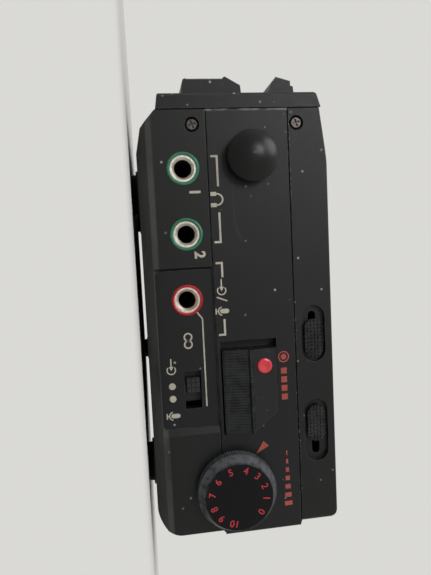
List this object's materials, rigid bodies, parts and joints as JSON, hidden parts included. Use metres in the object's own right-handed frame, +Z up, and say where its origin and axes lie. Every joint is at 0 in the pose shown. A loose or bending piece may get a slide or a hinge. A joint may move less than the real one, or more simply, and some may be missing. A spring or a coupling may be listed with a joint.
{
  "type": "portable stereo cassette recorder",
  "caption": "Pocket-sized stereo cassette recorder with piano keys on the front, a hinged cassette lid, and sockets, switches and a level dial in its right end.",
  "frame": {"origin": "centre of the bounding box, at the bottom of the rubber feet", "axes": "+X along the case towards the socket end, -Y towards the piano keys, +Z up towards the cassette lid"},
  "size_m": [0.181, 0.0976, 0.0412],
  "materials": {
    "case_black": "matte black paint over metal, lightly dusty, worn on the edges",
    "frame_black": "matte black",
    "panel_black": "fine-grained matte black",
    "inner_plastic": "matte dark grey moulding",
    "contact_metal": "nickel-plated spring metal",
    "foot_rubber": "matte black rubber",
    "black_screw": "blackened steel",
    "steel_screw": "zinc-plated steel",
    "stud_black": "glossy black",
    "socket_metal": "nickel-plated brass, slightly yellowed",
    "ring_green": "semi-gloss green plastic",
    "ring_red": "semi-gloss red plastic",
    "switch_black": "satin black",
    "key_black": "satin black, polished by fingers",
    "dot_red": "glossy red enamel",
    "dial_black": "satin black, rim worn grey",
    "steel": "ground steel",
    "control_can": "pressed steel can",
    "window_clear": "clear acrylic, lightly smoked",
    "spring_steel": "spring steel",
    "deck_steel": "zinc-plated pressed steel",
    "spindle_white": "off-white acetal",
    "flywheel_brass": "turned brass",
    "belt_rubber": "matte black rubber",
    "head_metal": "polished head shell",
    "erase_black": "dark moulded head",
    "roller_rubber": "matte black rubber",
    "board_green": "green laminate",
    "meter_smoke": "smoked red acrylic",
    "lamp_red": "red lamp lenses",
    "number_white": "off-white wheels"
  },
  "bodies": {
    "housing": {"bottom_shell": "case_black", "middle_frame": "frame_black", "top_shell": "case_black", "front_panel": "panel_black", "line_in_panel": "panel_black", "battery_tray": "inner_plastic", "battery_contacts": "contact_metal", "rubber_feet": "foot_rubber", "end_screws": "black_screw", "base_screws": "steel_screw", "strap_stud_right": "stud_black", "strap_stud_left": "stud_black", "headphone_socket_1": "socket_metal", "headphone_socket_2": "socket_metal", "line_in_socket": "socket_metal", "line_out_socket": "socket_metal", "headphone_rings": "ring_green", "line_in_ring": "ring_red", "dc_inlet": "inner_plastic", "level_control": "control_can", "lid_hinge_pins": "steel", "well_frame": "inner_plastic", "deck_plate": "deck_steel", "motor": "control_can", "drive_belt": "belt_rubber", "circuit_board": "board_green", "meter_window": "meter_smoke", "meter_lamps": "lamp_red", "counter_frame": "control_can"},
    "battery_door": {"battery_door": "case_black"},
    "lid": {"cassette_lid": "case_black", "lid_window": "window_clear", "lid_spring": "spring_steel"},
    "rewind_key": {"rewind_key": "key_black"},
    "forward_key": {"forward_key": "key_black"},
    "play_key": {"play_key": "key_black"},
    "stop_key": {"stop_key": "key_black"},
    "pause_key": {"pause_key": "key_black"},
    "eject_button": {"eject_button": "key_black"},
    "input_switch": {"input_switch": "switch_black"},
    "tape_switch": {"tape_switch": "switch_black"},
    "speed_switch": {"speed_switch": "switch_black"},
    "record_key": {"record_key": "key_black", "record_dot": "dot_red"},
    "level_dial": {"level_dial": "dial_black", "level_shaft": "steel"},
    "supply_reel": {"supply_spindle": "spindle_white"},
    "takeup_reel": {"takeup_spindle": "spindle_white"},
    "capstan": {"capstan": "steel", "flywheel": "flywheel_brass"},
    "motor_pulley": {"motor_pulley": "flywheel_brass"},
    "head_bridge": {"head_bridge": "deck_steel", "sound_head": "head_metal", "erase_head": "erase_black"},
    "pinch_arm": {"pinch_arm": "deck_steel"},
    "pinch_roller": {"pinch_roller": "roller_rubber"},
    "counter_units": {"counter_units": "number_white"},
    "counter_tens": {"counter_tens": "number_white"},
    "counter_hundreds": {"counter_hundreds": "number_white"},
    "counter_reset": {"counter_reset": "key_black"}
  },
  "joints": [
    {"name": "lid_hinge", "type": "hinge", "parent": "housing", "child": "lid", "pos_m": [-0.015, 0.0332, 0.0389], "axis": [-1, 0, 0], "range_deg": [0, 75]},
    {"name": "battery_door_hinge", "type": "hinge", "parent": "housing", "child": "battery_door", "pos_m": [-0.0175, 0.04695, 0.008], "axis": [-1, 0, 0], "range_deg": [0, 95]},
    {"name": "rewind_press", "type": "slide", "parent": "housing", "child": "rewind_key", "axis": [0, 1, 0], "range_m": [0, 0.0022], "stiffness_N_per_m": 250, "springref_m": -0.001},
    {"name": "forward_press", "type": "slide", "parent": "housing", "child": "forward_key", "axis": [0, 1, 0], "range_m": [0, 0.0022], "stiffness_N_per_m": 250, "springref_m": -0.001},
    {"name": "play_press", "type": "slide", "parent": "housing", "child": "play_key", "axis": [0, 1, 0], "range_m": [0, 0.0022], "stiffness_N_per_m": 250, "springref_m": -0.001},
    {"name": "stop_press", "type": "slide", "parent": "housing", "child": "stop_key", "axis": [0, 1, 0], "range_m": [0, 0.0022], "stiffness_N_per_m": 250, "springref_m": -0.001},
    {"name": "pause_press", "type": "slide", "parent": "housing", "child": "pause_key", "axis": [0, 1, 0], "range_m": [0, 0.0022], "stiffness_N_per_m": 250, "springref_m": -0.001},
    {"name": "eject_press", "type": "slide", "parent": "housing", "child": "eject_button", "axis": [0, 1, 0], "range_m": [0, 0.002], "stiffness_N_per_m": 250, "springref_m": -0.001},
    {"name": "input_slide", "type": "slide", "parent": "housing", "child": "input_switch", "axis": [0, 1, 0], "range_m": [0, 0.0028]},
    {"name": "tape_slide", "type": "slide", "parent": "housing", "child": "tape_switch", "axis": [0, -1, 0], "range_m": [0, 0.0026]},
    {"name": "speed_slide", "type": "slide", "parent": "housing", "child": "speed_switch", "axis": [0, 1, 0], "range_m": [0, 0.0034]},
    {"name": "record_slide", "type": "slide", "parent": "housing", "child": "record_key", "axis": [0, -1, 0], "range_m": [0, 0.0015], "stiffness_N_per_m": 300, "springref_m": -0.0005},
    {"name": "level_turn", "type": "hinge", "parent": "housing", "child": "level_dial", "pos_m": [0.086, 0.03835, 0.0184], "axis": [-1, 0, 0], "range_deg": [-106, 188]},
    {"name": "supply_spin", "type": "hinge", "parent": "housing", "child": "supply_reel", "pos_m": [-0.03625, 0, 0.0254], "axis": [0, 0, 1], "continuous": true},
    {"name": "takeup_spin", "type": "hinge", "parent": "housing", "child": "takeup_reel", "pos_m": [0.00625, 0, 0.0254], "axis": [0, 0, 1], "continuous": true},
    {"name": "capstan_spin", "type": "hinge", "parent": "housing", "child": "capstan", "pos_m": [0.0185, -0.0294, 0.0085], "axis": [0, 0, 1], "continuous": true},
    {"name": "motor_spin", "type": "hinge", "parent": "housing", "child": "motor_pulley", "pos_m": [-0.058, -0.022, 0.0085], "axis": [0, 0, 1], "continuous": true},
    {"name": "bridge_slide", "type": "slide", "parent": "housing", "child": "head_bridge", "axis": [0, 1, 0], "range_m": [0, 0.0033]},
    {"name": "pinch_swing", "type": "hinge", "parent": "housing", "child": "pinch_arm", "pos_m": [0.031, -0.0382, 0.0255], "axis": [0, 0, -1], "range_deg": [0, 11.5]},
    {"name": "roller_spin", "type": "hinge", "parent": "pinch_arm", "child": "pinch_roller", "pos_m": [0.0185, -0.037, 0.03], "axis": [0, 0, 1], "continuous": true},
    {"name": "units_spin", "type": "hinge", "parent": "housing", "child": "counter_units", "pos_m": [0.06, -0.008, 0.0338], "axis": [1, 0, 0], "continuous": true},
    {"name": "tens_spin", "type": "hinge", "parent": "housing", "child": "counter_tens", "pos_m": [0.056, -0.008, 0.0338], "axis": [1, 0, 0], "continuous": true},
    {"name": "hundreds_spin", "type": "hinge", "parent": "housing", "child": "counter_hundreds", "pos_m": [0.052, -0.008, 0.0338], "axis": [1, 0, 0], "continuous": true},
    {"name": "reset_press", "type": "slide", "parent": "housing", "child": "counter_reset", "axis": [0, 0, -1], "range_m": [0, 0.0015], "stiffness_N_per_m": 200, "springref_m": -0.0005}
  ],
  "couplings": [
    {"joint": "motor_spin", "follows": "capstan_spin", "ratio": 2.64},
    {"joint": "bridge_slide", "follows": "play_press", "ratio": 1.5},
    {"joint": "pinch_swing", "follows": "play_press", "rad_per_m": 90.9},
    {"joint": "units_spin", "follows": "takeup_spin", "ratio": 0.05},
    {"joint": "tens_spin", "follows": "takeup_spin", "ratio": 0.005},
    {"joint": "hundreds_spin", "follows": "takeup_spin", "ratio": 0.0005}
  ]
}
